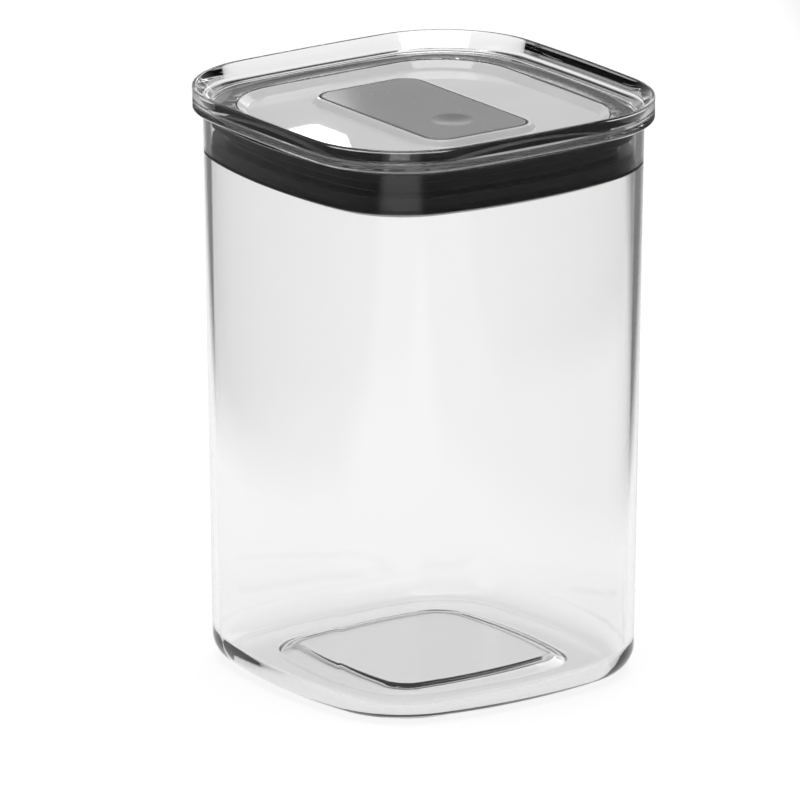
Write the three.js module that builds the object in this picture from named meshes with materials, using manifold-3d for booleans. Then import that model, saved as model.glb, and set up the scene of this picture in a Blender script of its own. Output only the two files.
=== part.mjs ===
// Lidded square storage canister with a rocker lever that expands a silicone seal.
// Millimetres, +Z up, origin at the bottom centre of the jar, the lever's long axis along Y.
import * as THREE from "three";
import { mergeVertices } from "three/addons/utils/BufferGeometryUtils.js";
import Module from "manifold-3d";

const wasm = await Module();
wasm.setup();

// ---- Driving dimensions -------------------------------------------------------------------

const HEIGHT = 150; // foot to the top of the lid rim
const LID_HALF = 50; // the lid is 100 mm square
const CLEARANCE = 0.3; // gap left between pieces that touch

// Jar: a drafted rounded square with softly bulging sides.
const JAR_TOP = 143.8;
const JAR_HALF_TOP = 49.1;
const JAR_HALF_FOOT = 46.95;
const JAR_SIDE_RADIUS = 130;
const JAR_CORNER_RADIUS = 23.5;
const JAR_WALL = 2;
const JAR_FOOT_FILLET = 16;
const JAR_FLOOR_TOP = 2.4;
const PUSH_UP_HALF = 30.2; // the middle of the base is pushed up, at one thickness
const PUSH_UP_SLOPE = 4.4;
const PUSH_UP_HEIGHT = 1.7; // clears the lever of a like canister stacked below

// Lid cover: a nearly straight-sided rounded square with an upstanding rim, thin at its top edge
// and widening down its inner slope to a small step above the flat ring.
const LID_SIDE_RADIUS = 600;
const LID_CORNER_RADIUS = 28.4;
const RIM_EDGE_WALL = 0.9;
const RIM_FOOT_WALL = 4.7;
const RIM_BOTTOM = JAR_TOP + CLEARANCE;
const SLOPE_BOTTOM = 146;
const RING_TOP = 145.1;
const COVER_BOTTOM = 143.4;

// Top panel: a dished plate seated in the window of the cover, with a collar round the lever.
const PANEL_HALF = 39.4;
const PANEL_CORNER_RADIUS = 20;
const PANEL_TOP = 143.5;
const PANEL_BOTTOM = 142;
const PANEL_RIM_TOP = 144.9;

// Lever: a flat rocker on a cross pin, with a finger dimple over its short arm.
const LEVER_HALF_WIDTH = 14.85;
const LEVER_HALF_LENGTH = 26.7;
const LEVER_CORNER_RADIUS = 5;
const LEVER_TOP = 145;
const LEVER_BOTTOM = 141.5;
const LEVER_GAP = 0.6;
const PIVOT_Y = -6;
const PIVOT_Z = 140.6;
const LINK_ARM = 6.4; // hinge pin to link pin, so the plate moves 6.4 mm for each radian
const PIN_RADIUS = 1;
const PIN_BORE = PIN_RADIUS + CLEARANCE;
const DIMPLE_Y = -12.5;

// Seal carrier, seal and pressure plate below it.
const NECK_HALF = 40.7;
const NECK_WALL = 2.3;
const NECK_CORNER_RADIUS = 17;
const NECK_SIDE_RADIUS = 122;
const FLOOR_BOTTOM = 133.8;
const FLOOR_TOP = 135;
const FLANGE_BOTTOM = 141.5;
const FLANGE_HALF = 43;
const SEAL_SLEEVE_HALF = 42.4;
const SEAL_BODY_HALF = 46.3;
const SEAL_LIP_HALF = 46.6;
const SEAL_SHOULDER = 136.8;
const SEAL_HEAD_BOTTOM = 140.4;
const SEAL_LIP_BOTTOM = 132.4;
const PLATE_TOP = 133.3;
const PLATE_BOTTOM = 131.2;
const PLATE_HALF = 44.6;

const PANEL_SCREW_AT = { x: 30, y: 9 };
const SPRING_AT = { x: 25, y: 25 };
const SPRING_RADIUS = 2.9; // to the centre of the wire
const SPRING_WIRE = 0.35;

// ---- Materials ----------------------------------------------------------------------------

const standard = (color, roughness, metalness = 0, extra = {}) =>
  new THREE.MeshStandardMaterial({ color, roughness, metalness, ...extra });
const clearGlass = () => standard(0xeef2f2, 0.05, 0, { transparent: true, opacity: 0.3 });
const clearPlastic = () => standard(0xf2f4f4, 0.08, 0, { transparent: true, opacity: 0.4 });
const whitePlastic = () => standard(0xe9eaea, 0.4);
const lightGreyPlastic = () => standard(0xcfd0d0, 0.3);
const midGreyPlastic = () => standard(0x989999, 0.38);
const darkSilicone = () => standard(0x2b2c2d, 0.55);
const steel = () => standard(0xb9bcbe, 0.3, 1);

// ---- Solids -------------------------------------------------------------------------------

const SIDE_STEPS = 4;
const CORNER_STEPS = 7;

// Rounded square outline: four side arcs that bulge outward, joined by four corner arcs.
function squareOutline(half, sideRadius, cornerRadius) {
  const sideCentre = half - sideRadius;
  const span = sideRadius - cornerRadius;
  const cornerCentre = (sideCentre + Math.sqrt(2 * span * span - sideCentre * sideCentre)) / 2;
  const join = Math.atan2(cornerCentre, cornerCentre - sideCentre);
  const points = [];
  for (let quarter = 0; quarter < 4; quarter++) {
    const turn = (quarter * Math.PI) / 2;
    const centre = new THREE.Vector2();
    const addArc = (cx, cy, radius, from, to, steps) => {
      for (let i = 0; i < steps; i++) {
        const angle = from + ((to - from) * i) / steps;
        const p = new THREE.Vector2(cx + radius * Math.cos(angle), cy + radius * Math.sin(angle));
        points.push(p.rotateAround(centre, turn));
      }
    };
    addArc(sideCentre, 0, sideRadius, -join, join, SIDE_STEPS);
    addArc(cornerCentre, cornerCentre, cornerRadius, join, Math.PI / 2 - join, CORNER_STEPS);
  }
  return points;
}

// Rounded rectangle outline.
function rectOutline(halfX, halfY, cornerRadius, steps = 6) {
  const points = [];
  const corners = [
    [1, 1],
    [-1, 1],
    [-1, -1],
    [1, -1],
  ];
  corners.forEach(([sx, sy], quarter) => {
    for (let i = 0; i <= steps; i++) {
      const angle = ((quarter + i / steps) * Math.PI) / 2;
      const x = sx * (halfX - cornerRadius) + cornerRadius * Math.cos(angle);
      const y = sy * (halfY - cornerRadius) + cornerRadius * Math.sin(angle);
      points.push(new THREE.Vector2(x, y));
    }
  });
  return points;
}

// Closed solid through a stack of convex outlines, each { z, outline }, from the bottom up.
function loft(sections) {
  const count = sections[0].outline.length;
  const positions = [];
  const index = [];
  sections.forEach(({ z, outline }) => outline.forEach((p) => positions.push(p.x, p.y, z)));
  for (let level = 0; level + 1 < sections.length; level++) {
    for (let i = 0; i < count; i++) {
      const a = level * count + i;
      const b = level * count + ((i + 1) % count);
      index.push(a, b, b + count, a, b + count, a + count);
    }
  }
  const top = (sections.length - 1) * count;
  for (let i = 1; i + 1 < count; i++) {
    index.push(0, i + 1, i);
    index.push(top, top + i, top + i + 1);
  }
  const geometry = new THREE.BufferGeometry();
  geometry.setAttribute("position", new THREE.Float32BufferAttribute(positions, 3));
  geometry.setIndex(index);
  return solidOf(geometry);
}

// Prism of one outline between two heights.
const prism = (outline, bottom, top) =>
  loft([
    { z: bottom, outline },
    { z: top, outline },
  ]);

// Box with one corner at (x0, y0, z0) and the opposite one at (x1, y1, z1).
function box(x0, x1, y0, y1, z0, z1) {
  const geometry = new THREE.BoxGeometry(x1 - x0, y1 - y0, z1 - z0);
  geometry.translate((x0 + x1) / 2, (y0 + y1) / 2, (z0 + z1) / 2);
  return solidOf(geometry);
}

// Solid turned about Z from a profile of [radius, z] pairs that starts and ends on the axis.
function turned(profile, segments = 16) {
  const points = profile.map(([radius, z]) => new THREE.Vector2(radius, z));
  const geometry = new THREE.LatheGeometry(points, segments);
  geometry.rotateX(Math.PI / 2);
  return solidOf(geometry);
}

const rod = (radius, bottom, top, segments = 16) =>
  turned([[0, bottom], [radius, bottom], [radius, top], [0, top]], segments);

// Rod along X through (y, z).
const crossRod = (radius, halfLength, y, z, segments = 16) =>
  rod(radius, -halfLength, halfLength, segments).rotate([0, 90, 0]).translate([0, y, z]);

function solidOf(geometry) {
  const bare = new THREE.BufferGeometry();
  bare.setAttribute("position", geometry.getAttribute("position"));
  bare.setIndex(geometry.getIndex());
  const welded = mergeVertices(bare, 1e-4);
  const vertProperties = new Float32Array(welded.getAttribute("position").array);
  const triVerts = new Uint32Array(welded.getIndex().array);
  const mesh = new wasm.Mesh({ numProp: 3, vertProperties, triVerts });
  return new wasm.Manifold(mesh);
}

function geometryOf(solid) {
  const mesh = solid.getMesh();
  const geometry = new THREE.BufferGeometry();
  geometry.setAttribute("position", new THREE.BufferAttribute(mesh.vertProperties.slice(), 3));
  geometry.setIndex(new THREE.BufferAttribute(mesh.triVerts.slice(), 1));
  const flat = geometry.toNonIndexed();
  flat.computeVertexNormals();
  return flat;
}

function piece(name, solid, material) {
  const mesh = new THREE.Mesh(geometryOf(solid), material);
  mesh.name = name;
  return mesh;
}

// Positions (+x +y, -x +y, -x -y, +x -y) of four like pieces.
const fourCorners = ({ x, y }) => [
  [x, y],
  [-x, y],
  [-x, -y],
  [x, -y],
];

// ---- Jar ----------------------------------------------------------------------------------

// Outline of the jar's outer skin at a height, moved inward by an inset.
function jarOutline(z, inset) {
  const share = Math.max(0, (z - JAR_FOOT_FILLET) / (JAR_TOP - JAR_FOOT_FILLET));
  const half = JAR_HALF_FOOT + (JAR_HALF_TOP - JAR_HALF_FOOT) * share;
  return squareOutline(half - inset, JAR_SIDE_RADIUS - inset, JAR_CORNER_RADIUS - inset);
}

// Quarter-round run of outlines from a flat bottom up into the wall.
function filletSections(bottom, radius, inset, steps = 5) {
  const sections = [];
  for (let i = 0; i <= steps; i++) {
    const angle = (i / steps) * (Math.PI / 2);
    const z = bottom + radius * (1 - Math.cos(angle));
    sections.push({ z, outline: jarOutline(z, inset + radius * (1 - Math.sin(angle))) });
  }
  return sections;
}

function glassJar() {
  const edge = 0.5; // eased lip at the mouth
  const outer = loft([
    ...filletSections(0, JAR_FOOT_FILLET, 0),
    { z: JAR_TOP - edge, outline: jarOutline(JAR_TOP - edge, 0) },
    { z: JAR_TOP, outline: jarOutline(JAR_TOP, edge) },
  ]);
  const innerFillet = JAR_FOOT_FILLET - JAR_WALL;
  const inner = loft([
    ...filletSections(JAR_FLOOR_TOP, innerFillet, JAR_WALL),
    { z: JAR_TOP + 1, outline: jarOutline(JAR_TOP + 1, JAR_WALL) },
  ]);
  const baseOutline = (inset) =>
    squareOutline(PUSH_UP_HALF - inset, JAR_SIDE_RADIUS - inset, 12 - inset);
  const pushUp = (bottom, top) =>
    loft([
      { z: bottom, outline: baseOutline(0) },
      { z: top - PUSH_UP_HEIGHT, outline: baseOutline(0) },
      { z: top, outline: baseOutline(PUSH_UP_SLOPE) },
    ]);
  const plateau = pushUp(1.8, JAR_FLOOR_TOP + PUSH_UP_HEIGHT);
  const recess = pushUp(-1, PUSH_UP_HEIGHT);
  return outer.subtract(inner).add(plateau).subtract(recess);
}

// ---- Lid cover and top panel --------------------------------------------------------------

const lidOutline = (inset) =>
  squareOutline(LID_HALF - inset, LID_SIDE_RADIUS - inset, LID_CORNER_RADIUS - inset);
const panelOutline = (inset) =>
  squareOutline(PANEL_HALF - inset, LID_SIDE_RADIUS - inset, PANEL_CORNER_RADIUS - inset);
const neckOutline = (half) => {
  const grown = half - NECK_HALF;
  return squareOutline(half, NECK_SIDE_RADIUS + grown, NECK_CORNER_RADIUS + grown);
};

function lidCover() {
  const shell = loft([
    { z: RIM_BOTTOM, outline: lidOutline(0.9) },
    { z: RIM_BOTTOM + 0.9, outline: lidOutline(0) },
    { z: HEIGHT - 0.4, outline: lidOutline(0) },
    { z: HEIGHT, outline: lidOutline(0.3) },
  ]);
  const spigot = prism(neckOutline(SEAL_BODY_HALF), COVER_BOTTOM, RIM_BOTTOM + 0.2);
  const slope = (RIM_FOOT_WALL - RIM_EDGE_WALL) / (HEIGHT - SLOPE_BOTTOM);
  const over = 0.1;
  const well = loft([
    { z: SLOPE_BOTTOM, outline: lidOutline(RIM_FOOT_WALL) },
    { z: HEIGHT + over, outline: lidOutline(RIM_EDGE_WALL - slope * over) },
  ]);
  const floorWell = prism(lidOutline(RIM_FOOT_WALL), RING_TOP, SLOPE_BOTTOM + over);
  const seat = 0.8;
  const window = loft([
    { z: COVER_BOTTOM - 0.1, outline: panelOutline(seat - CLEARANCE) },
    { z: COVER_BOTTOM + 0.5, outline: panelOutline(-CLEARANCE) },
    { z: RING_TOP + 0.1, outline: panelOutline(-CLEARANCE) },
  ]);
  return shell.add(spigot).subtract(well).subtract(floorWell).subtract(window);
}

function topPanel() {
  const plate = loft([
    { z: PANEL_BOTTOM, outline: panelOutline(2.2) },
    { z: PANEL_BOTTOM + 0.9, outline: panelOutline(1.5) },
    { z: PANEL_BOTTOM + 1.9, outline: panelOutline(0) },
    { z: PANEL_RIM_TOP, outline: panelOutline(0) },
  ]);
  const dish = loft([
    { z: PANEL_TOP, outline: panelOutline(2.3) },
    { z: PANEL_RIM_TOP, outline: panelOutline(0.2) },
    { z: PANEL_RIM_TOP + 1, outline: panelOutline(0.2) },
  ]);
  const openX = LEVER_HALF_WIDTH + LEVER_GAP;
  const openY = LEVER_HALF_LENGTH + LEVER_GAP;
  const openRadius = LEVER_CORNER_RADIUS + LEVER_GAP;
  const grownOpening = (by) => rectOutline(openX + by, openY + by, openRadius + by);
  const collar = loft([
    { z: PANEL_TOP - 0.2, outline: grownOpening(1.9) },
    { z: LEVER_TOP - 0.4, outline: grownOpening(1.1) },
    { z: LEVER_TOP, outline: grownOpening(0.6) },
  ]);
  const skirt = prism(grownOpening(1.4), PANEL_BOTTOM - 1.7, PANEL_BOTTOM + 0.2);
  const opening = prism(grownOpening(0), PANEL_BOTTOM - 3, LEVER_TOP + 1);
  let panel = plate.subtract(dish).add(collar).add(skirt).subtract(opening);
  for (const [x, y] of fourCorners(PANEL_SCREW_AT)) {
    panel = panel.add(rod(2.8, 137.5, PANEL_BOTTOM + 0.3).translate([x, y, 0]));
    panel = panel.subtract(rod(1 + CLEARANCE, 137, 141.7).translate([x, y, 0]));
  }
  return panel;
}

// ---- Lever and its pins -------------------------------------------------------------------

function lever() {
  const outline = (inset) =>
    rectOutline(
      LEVER_HALF_WIDTH - inset,
      LEVER_HALF_LENGTH - inset,
      LEVER_CORNER_RADIUS - inset,
    );
  const body = loft([
    { z: LEVER_BOTTOM, outline: outline(0) },
    { z: LEVER_TOP - 0.4, outline: outline(0) },
    { z: LEVER_TOP, outline: outline(0.4) },
  ]);
  const hollow = prism(outline(1.5), LEVER_BOTTOM - 1, LEVER_TOP - 1.9);
  const dimpleRadius = 5.6;
  const dimpleDepth = 0.9;
  const arcRadius = (dimpleRadius ** 2 + dimpleDepth ** 2) / (2 * dimpleDepth);
  const bowl = [[0, LEVER_TOP - dimpleDepth]];
  for (let i = 1; i <= 4; i++) {
    const radius = (dimpleRadius * i) / 4;
    const drop = Math.sqrt(arcRadius ** 2 - radius ** 2);
    bowl.push([radius, LEVER_TOP - dimpleDepth + arcRadius - drop]);
  }
  bowl.push([dimpleRadius, LEVER_TOP + 1], [0, LEVER_TOP + 1]);
  const dimple = turned(bowl, 28).translate([0, DIMPLE_Y, 0]);
  let made = body.subtract(hollow).subtract(dimple);
  for (const side of [-1, 1]) {
    const inner = side * 5.7;
    const outer = side * 7.7;
    const rib = box(
      Math.min(inner, outer),
      Math.max(inner, outer),
      PIVOT_Y - LINK_ARM - 2.2,
      PIVOT_Y + 2.2,
      PIVOT_Z - 2,
      LEVER_TOP - 1.7,
    );
    made = made.add(rib);
  }
  const hingeBore = crossRod(PIN_BORE, 9, PIVOT_Y, PIVOT_Z);
  const linkBore = crossRod(PIN_BORE, 9, PIVOT_Y - LINK_ARM, PIVOT_Z);
  return made.subtract(hingeBore).subtract(linkBore);
}

const leverPin = () => crossRod(PIN_RADIUS, 11.9, PIVOT_Y, PIVOT_Z);
const linkPin = () => crossRod(PIN_RADIUS, 8.1, PIVOT_Y - LINK_ARM, PIVOT_Z);

// ---- Seal carrier, seal and pressure plate ------------------------------------------------

function sealCarrier() {
  const neck = prism(neckOutline(NECK_HALF), FLOOR_BOTTOM, FLANGE_BOTTOM + 0.2);
  const flangeTop = COVER_BOTTOM - CLEARANCE;
  const flange = prism(neckOutline(FLANGE_HALF), FLANGE_BOTTOM, flangeTop);
  const cup = prism(neckOutline(NECK_HALF - NECK_WALL), FLOOR_TOP, flangeTop + 1);
  const seat = prism(panelOutline(0.9), flangeTop - 1.4, flangeTop + 1);
  let carrier = neck.add(flange).subtract(cup).subtract(seat);
  for (const side of [-1, 1]) {
    const inner = Math.min(side * 9, side * 11.4);
    const lugRadius = 2.2;
    const leg = box(
      inner,
      inner + 2.4,
      PIVOT_Y - lugRadius,
      PIVOT_Y + lugRadius,
      FLOOR_TOP - 0.2,
      PIVOT_Z,
    );
    const eye = crossRod(lugRadius, 1.2, PIVOT_Y, PIVOT_Z).translate([inner + 1.2, 0, 0]);
    carrier = carrier.add(leg).add(eye);
  }
  carrier = carrier.subtract(crossRod(PIN_BORE, 13, PIVOT_Y, PIVOT_Z));
  const linkY = PIVOT_Y - LINK_ARM;
  carrier = carrier.subtract(box(-5.5, 5.5, linkY - 3.6, linkY + 3.6, 133, 136));
  for (const [x, y] of fourCorners(PANEL_SCREW_AT)) {
    carrier = carrier.add(rod(3.2, FLOOR_TOP - 0.2, 137.2).translate([x, y, 0]));
    carrier = carrier.subtract(rod(2.3, 133, 136).translate([x, y, 0]));
    carrier = carrier.subtract(rod(1 + CLEARANCE, 135.9, 138).translate([x, y, 0]));
  }
  for (const [x, y] of fourCorners(SPRING_AT)) {
    carrier = carrier.subtract(rod(2.1, 133, 136).translate([x, y, 0]));
  }
  return carrier;
}

// One silicone moulding: a head stretched over the carrier's flange, a sleeve round the neck, a
// flat shoulder and a drooping wiper lip.
function seal() {
  const outer = loft([
    { z: SEAL_LIP_BOTTOM, outline: neckOutline(SEAL_LIP_HALF) },
    { z: SEAL_LIP_BOTTOM + 0.8, outline: neckOutline(SEAL_LIP_HALF) },
    { z: SEAL_LIP_BOTTOM + 2, outline: neckOutline(SEAL_BODY_HALF) },
    { z: SEAL_SHOULDER, outline: neckOutline(SEAL_BODY_HALF) },
    { z: SEAL_SHOULDER, outline: neckOutline(SEAL_SLEEVE_HALF) },
    { z: SEAL_HEAD_BOTTOM, outline: neckOutline(SEAL_SLEEVE_HALF) },
    { z: SEAL_HEAD_BOTTOM, outline: neckOutline(SEAL_BODY_HALF) },
    { z: COVER_BOTTOM - CLEARANCE, outline: neckOutline(SEAL_BODY_HALF) },
  ]);
  const bore = prism(neckOutline(NECK_HALF + CLEARANCE), 130, HEIGHT);
  const groove = prism(neckOutline(FLANGE_HALF + CLEARANCE), FLANGE_BOTTOM - CLEARANCE, HEIGHT);
  const pocket = prism(neckOutline(PLATE_HALF + 0.4), 130, PLATE_TOP + CLEARANCE);
  return outer.subtract(bore).subtract(groove).subtract(pocket);
}

function pressurePlate() {
  const web = 1.2;
  let plate = prism(neckOutline(PLATE_HALF), PLATE_BOTTOM, PLATE_TOP);
  plate = plate.subtract(prism(neckOutline(41.6), PLATE_BOTTOM - 1, PLATE_TOP - web));
  for (const [x, y] of fourCorners(SPRING_AT)) {
    plate = plate.add(rod(1.8, PLATE_TOP - 0.3, 139.9).translate([x, y, 0]));
    plate = plate.subtract(rod(1, 133.6, 141).translate([x, y, 0]));
  }
  for (const x of [-2.8, 2.8]) {
    const hole = turned(
      [[0, 131], [2.3, 131], [2.3, 132.3], [1.2, 133.2], [1.2, 134], [0, 134]],
      16,
    );
    plate = plate.subtract(hole.translate([x, PIVOT_Y - LINK_ARM, 0]));
  }
  return plate;
}

// Block that carries the pull of the link pin down to the pressure plate.
function liftYoke() {
  const linkY = PIVOT_Y - LINK_ARM;
  const block = box(-4.9, 4.9, linkY - 3, linkY + 3, PLATE_TOP + CLEARANCE, 141.8);
  const slotReach = 0.3;
  const slot = crossRod(PIN_BORE, 6, linkY - slotReach, PIVOT_Z)
    .add(crossRod(PIN_BORE, 6, linkY + slotReach, PIVOT_Z))
    .add(box(-6, 6, linkY - slotReach, linkY + slotReach, PIVOT_Z - PIN_BORE, PIVOT_Z + PIN_BORE));
  let yoke = block.subtract(slot);
  for (const x of [-2.8, 2.8]) {
    yoke = yoke.subtract(rod(1.1, 133, 138.3, 16).translate([x, linkY, 0]));
  }
  return yoke;
}

const plateCap = () => prism(neckOutline(41.2), PLATE_BOTTOM - 0.1, PLATE_BOTTOM + 0.6);

// ---- Springs and screws -------------------------------------------------------------------

class Coil extends THREE.Curve {
  constructor(radius, bottom, top, turns) {
    super();
    Object.assign(this, { radius, bottom, top, turns });
  }
  getPoint(t, target = new THREE.Vector3()) {
    const angle = t * this.turns * 2 * Math.PI;
    const z = this.bottom + (this.top - this.bottom) * t;
    return target.set(this.radius * Math.cos(angle), this.radius * Math.sin(angle), z);
  }
}

function spring() {
  const bottom = FLOOR_TOP + CLEARANCE + SPRING_WIRE;
  const top = 139.9 - SPRING_WIRE;
  const turns = 3;
  const wire = new THREE.Shape();
  wire.absarc(0, 0, SPRING_WIRE, 0, 2 * Math.PI);
  const geometry = new THREE.ExtrudeGeometry(wire, {
    steps: turns * 10,
    curveSegments: 3,
    bevelEnabled: false,
    extrudePath: new Coil(SPRING_RADIUS, bottom, top, turns),
  });
  return solidOf(geometry);
}

// Crossed slots cut into a screw head, opening towards +Z at a height.
function driveRecess(radius, bottom, top) {
  const half = 0.3;
  return box(-radius, radius, -half, half, bottom, top).add(
    box(-half, half, -radius, radius, bottom, top),
  );
}

function springScrew() {
  const shank = rod(0.7, 134.2, 140.5, 12);
  const head = rod(3.3, 140.2, 141.3, 20);
  return shank.add(head).subtract(driveRecess(1.3, 140.8, 142));
}

function panelScrew() {
  const shank = rod(1, 135.2, 141.2, 12);
  const head = rod(1.95, 134.3, 135.6);
  return shank.add(head).subtract(driveRecess(1.2, 133, 134.9));
}

function yokeScrew() {
  const body = turned(
    [[0, 132.15], [1.9, 132.15], [0.8, 133.05], [0.8, 138], [0, 138]],
    16,
  );
  return body.subtract(driveRecess(1.1, 131, 132.6));
}

// ---- Assembly -----------------------------------------------------------------------------

const canister = new THREE.Group();
canister.name = "lidded_canister";
canister.add(
  piece("glass_jar", glassJar(), clearGlass()),
  piece("lid_cover", lidCover(), clearPlastic()),
  piece("top_panel", topPanel(), lightGreyPlastic()),
  piece("lever", lever(), midGreyPlastic()),
  piece("lever_pin", leverPin(), steel()),
  piece("link_pin", linkPin(), steel()),
  piece("seal_carrier", sealCarrier(), whitePlastic()),
  piece("silicone_seal", seal(), darkSilicone()),
  piece("pressure_plate", pressurePlate(), whitePlastic()),
  piece("lift_yoke", liftYoke(), whitePlastic()),
  piece("plate_cap", plateCap(), whitePlastic()),
);
fourCorners(SPRING_AT).forEach(([x, y], i) => {
  canister.add(piece(`return_spring_${i + 1}`, spring().translate([x, y, 0]), steel()));
  canister.add(piece(`spring_screw_${i + 1}`, springScrew().translate([x, y, 0]), steel()));
});
fourCorners(PANEL_SCREW_AT).forEach(([x, y], i) => {
  canister.add(piece(`panel_screw_${i + 1}`, panelScrew().translate([x, y, 0]), steel()));
});
[-2.8, 2.8].forEach((x, i) => {
  const placed = yokeScrew().translate([x, PIVOT_Y - LINK_ARM, 0]);
  canister.add(piece(`yoke_screw_${i + 1}`, placed, steel()));
});

export default canister;
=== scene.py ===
"""Square glass canister with a clear-rimmed push-lever lid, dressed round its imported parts.

Laid out as an add-on: settings, one operator for each piece or group of like pieces, one for the
stage, and a panel that lists them. Shapes are worked out in millimetres and stored in metres.
"""
import math

import bpy
import numpy as np
from bpy.props import FloatProperty, FloatVectorProperty, PointerProperty
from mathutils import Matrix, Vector


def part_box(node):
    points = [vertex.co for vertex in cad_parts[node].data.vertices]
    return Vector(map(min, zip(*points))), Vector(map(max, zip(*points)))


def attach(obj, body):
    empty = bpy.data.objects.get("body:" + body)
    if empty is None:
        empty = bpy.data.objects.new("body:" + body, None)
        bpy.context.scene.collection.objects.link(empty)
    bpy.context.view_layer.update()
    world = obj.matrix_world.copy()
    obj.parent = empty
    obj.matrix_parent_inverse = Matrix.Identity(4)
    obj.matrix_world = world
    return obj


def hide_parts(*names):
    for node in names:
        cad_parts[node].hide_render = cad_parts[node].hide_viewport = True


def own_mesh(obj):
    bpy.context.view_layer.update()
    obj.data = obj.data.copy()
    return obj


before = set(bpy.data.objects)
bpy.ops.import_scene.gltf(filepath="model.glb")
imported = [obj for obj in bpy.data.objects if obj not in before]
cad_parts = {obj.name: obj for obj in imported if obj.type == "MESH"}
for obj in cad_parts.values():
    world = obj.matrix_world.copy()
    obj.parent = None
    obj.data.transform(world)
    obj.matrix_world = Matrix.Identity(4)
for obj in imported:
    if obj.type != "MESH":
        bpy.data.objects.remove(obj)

bl_info = {
    "name": "Lidded Canister",
    "version": (1, 0, 0),
    "blender": (4, 5, 0),
    "location": "View3D > Sidebar > Canister",
    "description": "Moulds, finishes and lights a square glass canister and its lever lid",
    "category": "Object",
}

MM = 0.001
SIDE_STEPS = 22  # points along each bowed side
CORNER_STEPS = 26  # points round each corner
STRAIGHT = 1e4  # bow radius, in mm, of a side that is straight


def box_mm(node):
    """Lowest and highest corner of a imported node, in millimetres."""
    low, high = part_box(node)
    return np.array(low) / MM, np.array(high) / MM


JAR_LOW, JAR_HIGH = box_mm("glass_jar")
COVER_LOW, COVER_HIGH = box_mm("lid_cover")
PANEL_LOW, PANEL_HIGH = box_mm("top_panel")
LEVER_LOW, LEVER_HIGH = box_mm("lever")
CARRIER_LOW, CARRIER_HIGH = box_mm("seal_carrier")
SEAL_LOW, SEAL_HIGH = box_mm("silicone_seal")
PLATE_LOW, PLATE_HIGH = box_mm("pressure_plate")
CAP_LOW, CAP_HIGH = box_mm("plate_cap")
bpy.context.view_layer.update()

# Outline families as (bow radius of the sides, corner radius) at a reference half width.
JAR = {"half": 46.95, "side": 130.0, "corner": 23.5}
LID = {"half": 50.0, "side": 600.0, "corner": 28.4}
PANEL = {"half": 39.4, "side": 600.0, "corner": 20.0}
NECK = {"half": 40.7, "side": 122.0, "corner": 17.0}
PUSH_UP = {"half": 30.2, "side": 130.0, "corner": 12.0}
LEVER = {"half": 14.85, "side": STRAIGHT, "corner": 5.0, "stretch": 11.85}

FOOT_FILLET = 16.0  # the wall starts its draft above this height
PUSH_UP_HEIGHT = 1.7  # the middle of the base stands this much higher than its ring
RIM_LOW = 144.1  # underside of the cover's rim
SLOPE_LOW = 146.0  # foot of the slope inside the rim
PANEL_FLOOR = 143.5  # flat of the dished panel
RING_TOP = 145.1  # flat ring between the rim and the panel
TOUCH = 0.03  # how far a piece pressed against the clear cover sinks into it
PANEL_UNDER = 142.0  # underside of the panel
FLANGE_LOW = 141.5  # underside of the carrier's flange
TRAY_FLOOR = 135.0  # floor of the carrier's tray
FLANGE = 43.2  # half width of the carrier's flange, inside the head of the seal

PIVOT = (-6.0, 140.6)  # y and z of the hinge pin
LINK_ARM = 6.4  # from the hinge pin to the link pin
SPRING_RADIUS, SPRING_WIRE, SPRING_TURNS = 2.9, 0.35, 4
SPRING_AT = [(25, 25), (-25, 25), (-25, -25), (25, -25)]
BOSS_AT = [(30, 9), (-30, 9), (-30, -9), (30, -9)]

FLOOR_RADIUS = 12.0  # metres
CARD_DISTANCE = 120.0  # from the panel to the card that it mirrors


# ---- Surfaces -----------------------------------------------------------------------------


def row(family, half, z, fillet):
    """One corner of a profile: a family's outline grown or shrunk to a half width, at a height."""
    grown = half - family["half"]
    return (
        half,
        family.get("stretch", 0.0),
        family["side"] + grown,
        family["corner"] + grown,
        z,
        fillet,
    )


def rounded(rows, closed=True, steps=6):
    """Profile with each corner replaced by an arc tangent to both its edges.

    The arc is the rational quadratic whose control point is the corner, weighted by the cosine of
    half the turn, which is an exact circle. A holding row stands just outside each end of it.
    """
    rows = np.asarray(rows, float)
    shape, fillet = rows[:, :5], rows[:, 5]
    back = np.roll(shape, 1, 0) - shape
    ahead = np.roll(shape, -1, 0) - shape
    length_back = np.hypot(back[:, 0], back[:, 4])
    length_ahead = np.hypot(ahead[:, 0], ahead[:, 4])
    dot = back[:, 0] * ahead[:, 0] + back[:, 4] * ahead[:, 4]
    half_turn = np.arccos(np.clip(-dot / (length_back * length_ahead), -1, 1)) / 2
    shorter = np.minimum(length_back, length_ahead)
    reach = np.minimum(fillet * np.tan(half_turn), 0.4 * shorter)
    hold = np.minimum(0.12, 0.06 * shorter)
    unit_back = back / length_back[:, None]
    unit_ahead = ahead / length_ahead[:, None]
    start = shape + unit_back * reach[:, None]
    end = shape + unit_ahead * reach[:, None]
    s = np.linspace(0, 1, steps + 1)[:, None, None]
    weight = np.cos(half_turn)[None, :, None]
    total = (1 - s) ** 2 + 2 * s * (1 - s) * weight + s**2
    arc = ((1 - s) ** 2 * start + 2 * s * (1 - s) * weight * shape + s**2 * end) / total
    before = start + unit_back * hold[:, None]
    after = end + unit_ahead * hold[:, None]
    run = np.concatenate([before[None], arc, after[None]]).transpose(1, 0, 2)
    if closed:
        return run.reshape(-1, 5)
    return np.concatenate([shape[:1], run[1:-1].reshape(-1, 5), shape[-1:]])


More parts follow.
